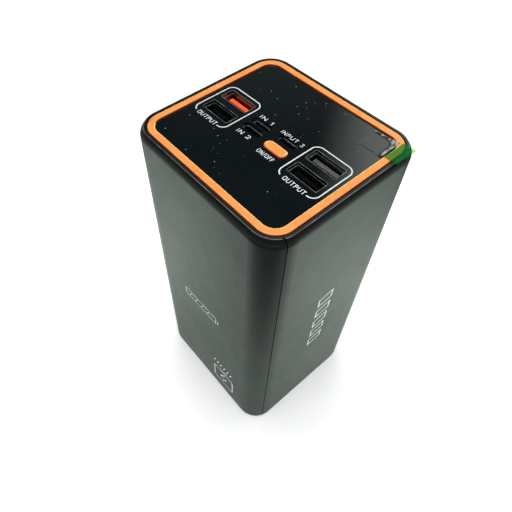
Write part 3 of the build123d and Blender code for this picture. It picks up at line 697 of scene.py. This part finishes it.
def front_marks(bm):
    """A long thin level mark, and low on the right a row of short bars over a battery with a bolt."""
    stroke(bm, loop(-13, 8.6, 72.6, 77.4, 1.0, 4), 0.4, on_front, SIDE_INK, True)
    stroke(bm, [(10, 74), (10, 76)], 0.5, on_front, SIDE_INK)
    for index in range(4):
        x = -10.0 + 4.2 * index
        stroke(bm, [(x, 74), (x + 1.2, 76)], 0.4, on_front, SIDE_INK)
    for index in range(6):
        x = 5.4 + 2.5 * index
        stroke(bm, [(x, 28.4), (x + 1.1, 31.2)], 0.55, on_front, SIDE_INK)
    stroke(bm, loop(5.4, 19.8, 9.4, 22.8, 1.8, 5), 0.6, on_front, SIDE_INK, True)
    stroke(bm, [(10.4, 24.4), (14.8, 24.4)], 0.7, on_front, SIDE_INK)
    stroke(bm, [(13.6, 20.6), (10.2, 15.9), (14.9, 16.4), (11.6, 11.6)], 0.55, on_front, SIDE_INK)


def right_marks(bm):
    """A column of five slanted level cells up the side."""
    for index in range(5):
        v = 56.0 + 9.0 * index
        cell = [(-4.1, v), (3.4, v + 1.2), (3.4, v + 6.2), (-4.1, v + 5.0)]
        stroke(bm, cell, 0.8, on_right, SIDE_INK, True)


piece("front_marks", front_marks, print_grey)
piece("right_marks", right_marks, print_grey)

# The film's tape and its pull tab, which lift off the film and go over the ring near its right back corner.
RING_INSIDE = (31.85, 29.35, 4.85)       # the ring's inner edge: half width, half depth, corner radius


def inside_ring(x, y):
    """How far (x, y) is inside the ring's inner edge, near its right back corner, negative over the ring."""
    half_x, half_y, radius = RING_INSIDE
    across, deep = x - (half_x - radius), y - (half_y - radius)
    if across > 0 and deep > 0:
        return radius - math.hypot(across, deep)
    return min(half_x - x, half_y - y)


def ease(t):
    """From 0 to 1 with a soft start and end."""
    t = max(0.0, min(1.0, t))
    return t * t * (3 - 2 * t)


def tape_top(x, y):
    """Height of the tape: down on the film, and up to the ring's top over a crinkled band."""
    depth = inside_ring(x, y)
    lift = ease((2.4 - depth) / 2.3)
    crinkle = 0.16 * math.sin(3.1 * x + 1.7 * math.sin(1.3 * y)) * math.sin(2.3 * y + 0.9 * x)
    flat_part = FILM_TOP + 0.02 + (RING_TOP - FILM_TOP + 0.03) * lift
    return flat_part + max(-0.05, crinkle) * lift * (1 - lift) * 2.2


def grid(bm, across, along, columns, rows, height, thick):
    """A thin closed sheet. across and along give x and y for (u, v) from 0 to 1 each way, and height gives
    its lower face."""
    layers = []
    for lift in (0.0, thick):
        layer = []
        for i in range(columns + 1):
            row = []
            for j in range(rows + 1):
                u, v = i / columns, j / rows
                x, y = across(u, v), along(u, v)
                row.append(bm.verts.new((x, y, height(x, y) + lift)))
            layer.append(row)
        layers.append(layer)
    low, top = layers
    for i in range(columns):
        for j in range(rows):
            bm.faces.new((top[i][j], top[i + 1][j], top[i + 1][j + 1], top[i][j + 1]))
            bm.faces.new((low[i][j + 1], low[i + 1][j + 1], low[i + 1][j], low[i][j]))
    border = [(i, 0) for i in range(columns)] + [(columns, j) for j in range(rows)]
    border += [(i, rows) for i in range(columns, 0, -1)] + [(0, j) for j in range(rows, 0, -1)]
    for (i, j), (k, m) in zip(border, border[1:] + border[:1]):
        bm.faces.new((low[i][j], low[k][m], top[k][m], top[i][j]))


def tape_sheet(bm):
    """The square of tape, cut a little askew at its rear edge."""
    x0, x1, y0, y1 = TAPE
    grid(bm, lambda u, v: x0 + (x1 - x0) * u, lambda u, v: y0 + (y1 - y0) * v + 0.5 * u * v, 54, 50, tape_top,
         0.05)


def tab_top(x, y):
    """Height of the tab: on the ring, then curling up towards its free end."""
    out = ease((x - 33.2) / 4.6)
    return RING_TOP + 0.10 + 0.62 * out * (0.75 + 0.25 * ease((y - 19) / 9)) + 0.03 * math.sin(1.4 * y)


def tab_sheet(bm):
    """The tab, a strip that widens a little towards the rear as it leaves the ring."""
    def along(u, v):
        return 19.4 + 9.7 * v + 0.35 * v * (1 - u) - 0.25 * u

    grid(bm, lambda u, v: 32.1 + 5.05 * u + 0.25 * v * u, along, 24, 30, tab_top, 0.09)


tape = piece("tape_sheet", tape_sheet, finishes["clear_tape"])
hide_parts("pull_tab_tape")
tab = piece("tab_sheet", tab_sheet, finishes["green_tab"])
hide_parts("pull_tab")
for soft in (tape, tab):
    for face in soft.data.polygons:
        face.use_smooth = True


DUST_DRAWS, DUST_SEED = 90, 7
GRAIN_SIDES = 7
RIGHT_FRONT = 38           # no dust where x - y is over this, in the corner nearest the camera's right


def dust(bm):
    """Specks lying on the film, small flat grains of uneven outline, none on the sockets, the labels or the
    button."""
    dice = random.Random(DUST_SEED)
    for _ in range(DUST_DRAWS):
        x, y = dice.uniform(-30, 30), dice.uniform(-27.5, 27.5)
        radius = dice.choice((0.06, 0.08, 0.1, 0.13, 0.17))
        on_frames = 11 < abs(x) < 31 and -13 < y < 9
        on_middle = abs(x) < 13 and -10 < y < 6
        if inside_ring(abs(x), abs(y)) < 0.6 or on_frames or on_middle or x - y > RIGHT_FRONT:
            continue
        corners = [(x + radius * dice.uniform(0.6, 1.2) * math.cos(a * math.tau / GRAIN_SIDES),
                    y + radius * dice.uniform(0.6, 1.2) * math.sin(a * math.tau / GRAIN_SIDES))
                   for a in range(GRAIN_SIDES)]
        low = [bm.verts.new((u, v, FILM_TOP - 0.002)) for u, v in corners]
        peak = bm.verts.new((x, y, FILM_TOP + 0.6 * radius))
        bm.faces.new(low[::-1])
        for a in range(GRAIN_SIDES):
            bm.faces.new((low[a], low[(a + 1) % GRAIN_SIDES], peak))


piece("film_dust", dust, dust_grey)

# ---------------------------------------------------------------- floor and light


FLOOR_REACH = 3.0
TOWARDS_LENS = (0.61, -0.79, 0)
ACROSS = (0.79, 0.61, 0)
POOL = (1.05, 1.24, 1.10)                # its colour in reflections
POOL_DEEP, POOL_WIDE = (0, 165), (200, 480)
CONTACT = (36, 115)                      # the pool is dimmer from here to here, under and beside the object
REFLECTED_FAR = (320, 700)               # the floor in reflections gets lighter over this distance
PAPER_FAR = (450, 1100)                  # and what the camera sees fades to plain white over this one


def soft(tree, value, low, high, start, end):
    """value from start to end becomes low to high, with an easy start and end."""
    result = spread(tree, value, low, high, start, end)
    result.node.interpolation_type = "SMOOTHSTEP"
    return result


def floor_mesh():
    """A level sheet."""
    bm = bmesh.new()
    bmesh.ops.create_grid(bm, x_segments=8, y_segments=8, size=FLOOR_REACH)
    mesh = bpy.data.meshes.new("floor")
    bm.to_mesh(mesh)
    bm.free()
    return mesh


def floor_finish():
    """Pale matt paper that fades to white far off. In reflections it is a bright pool round the object that
    fades out, like a sheet under a lamp."""
    made = surface("floor", ((0.90, 0.90, 0.90), (0.92, 0.92, 0.92)), (0.8, 0.9), 60.0, 0.6, 0.02, 0.1)
    tree = made.node_tree
    place = tree.nodes.new("ShaderNodeTexCoord").outputs["Object"]

    def fade(value, low, high, run):
        return soft(tree, value, low, high, run[0] * MM, run[1] * MM)

    def reach(direction, run):
        node = tree.nodes.new("ShaderNodeVectorMath")
        node.operation = "DOT_PRODUCT"
        tree.links.new(place, node.inputs[0])
        node.inputs[1].default_value = direction
        return fade(calc(tree, "ABSOLUTE", node.outputs["Value"]), 1, 0, run)

    middle = tree.nodes.new("ShaderNodeVectorMath")
    middle.operation = "LENGTH"
    tree.links.new(place, middle.inputs[0])
    distance = middle.outputs["Value"]
    pool = calc(tree, "MULTIPLY", reach(TOWARDS_LENS, POOL_DEEP), reach(ACROSS, POOL_WIDE))
    pool = calc(tree, "MULTIPLY", pool, fade(distance, 0.50, 1.0, CONTACT))
    glow = tree.nodes.new("ShaderNodeEmission")
    around = mixed(tree, fade(distance, 0, 1, REFLECTED_FAR), (0.05, 0.055, 0.055), (0.36, 0.40, 0.38))
    tree.links.new(mixed(tree, pool, around, POOL), glow.inputs["Color"])
    white = tree.nodes.new("ShaderNodeEmission")
    white.inputs["Color"].default_value = (1, 1, 1, 1)
    matt = tree.nodes["Principled BSDF"].outputs[0]
    paper = blend_of(tree, fade(distance, 0, 1, PAPER_FAR), matt, white.outputs[0])
    rays = tree.nodes.new("ShaderNodeLightPath")
    whole = blend_of(tree, rays.outputs["Is Glossy Ray"], paper, glow.outputs[0])
    tree.links.new(whole, tree.nodes["Material Output"].inputs["Surface"])
    return made


floor = bpy.data.objects.new("floor", floor_mesh())
bpy.context.scene.collection.objects.link(floor)
floor.data.materials.append(floor_finish())

LAMPS_AIM = (0, 0, 0.1)


def softbox(name, at, size, power):
    """A square lamp that looks at the object."""
    data = bpy.data.lights.new(name, "AREA")
    data.shape, data.size, data.size_y, data.energy = "RECTANGLE", size, size, power
    lamp = bpy.data.objects.new(name, data)
    lamp.location = at
    lamp.rotation_mode = "QUATERNION"
    lamp.rotation_quaternion = (Vector(LAMPS_AIM) - Vector(at)).to_track_quat("-Z", "Y")
    bpy.context.scene.collection.objects.link(lamp)
    return lamp


# Only the key lamp shows in reflections. The other two would put grain in the panel's glow.
softbox("key", (0.03, -0.04, 2.40), 1.8, 50.0)
softbox("accent", (-0.75, 0.60, 2.20), 0.9, 9.0).visible_glossy = False
softbox("fill", (0.9, -0.9, 2.1), 1.6, 14.0).visible_glossy = False

world = bpy.data.worlds.new("studio")
bpy.context.scene.world = world
world.use_nodes = True
sky = world.node_tree
way = sky.nodes.new("ShaderNodeTexCoord").outputs["Generated"]


def along_way(direction):
    """How far a ray into the room points that way, from -1 to 1."""
    node = sky.nodes.new("ShaderNodeVectorMath")
    node.operation = "DOT_PRODUCT"
    sky.links.new(way, node.inputs[0])
    node.inputs[1].default_value = Vector(direction).normalized()
    return node.outputs["Value"]


# In reflections the room is dark, a little lighter behind the object, with one soft bright screen high at the
# back. To the camera it is white, and its light on matt surfaces is an even grey.
behind = along_way((-0.69, 0.72, 0))
room = mixed(sky, soft(sky, behind, 0, 1, 0.0, 0.6), (0.006, 0.007, 0.007), (0.026, 0.030, 0.032))
room = mixed(sky, soft(sky, behind, 0, 1, 0.72, 0.88), room, (0.11, 0.125, 0.125))
room = mixed(sky, soft(sky, along_way((-0.1, 0.8, 0.6)), 0, 1, 0.915, 0.975), room, (1.55, 1.66, 1.58))
rays = sky.nodes.new("ShaderNodeLightPath")
matt = mixed(sky, rays.outputs["Is Camera Ray"], (0.42, 0.43, 0.43), (1.0, 1.0, 1.0))
sky.links.new(mixed(sky, rays.outputs["Is Glossy Ray"], matt, room), sky.nodes["Background"].inputs["Color"])
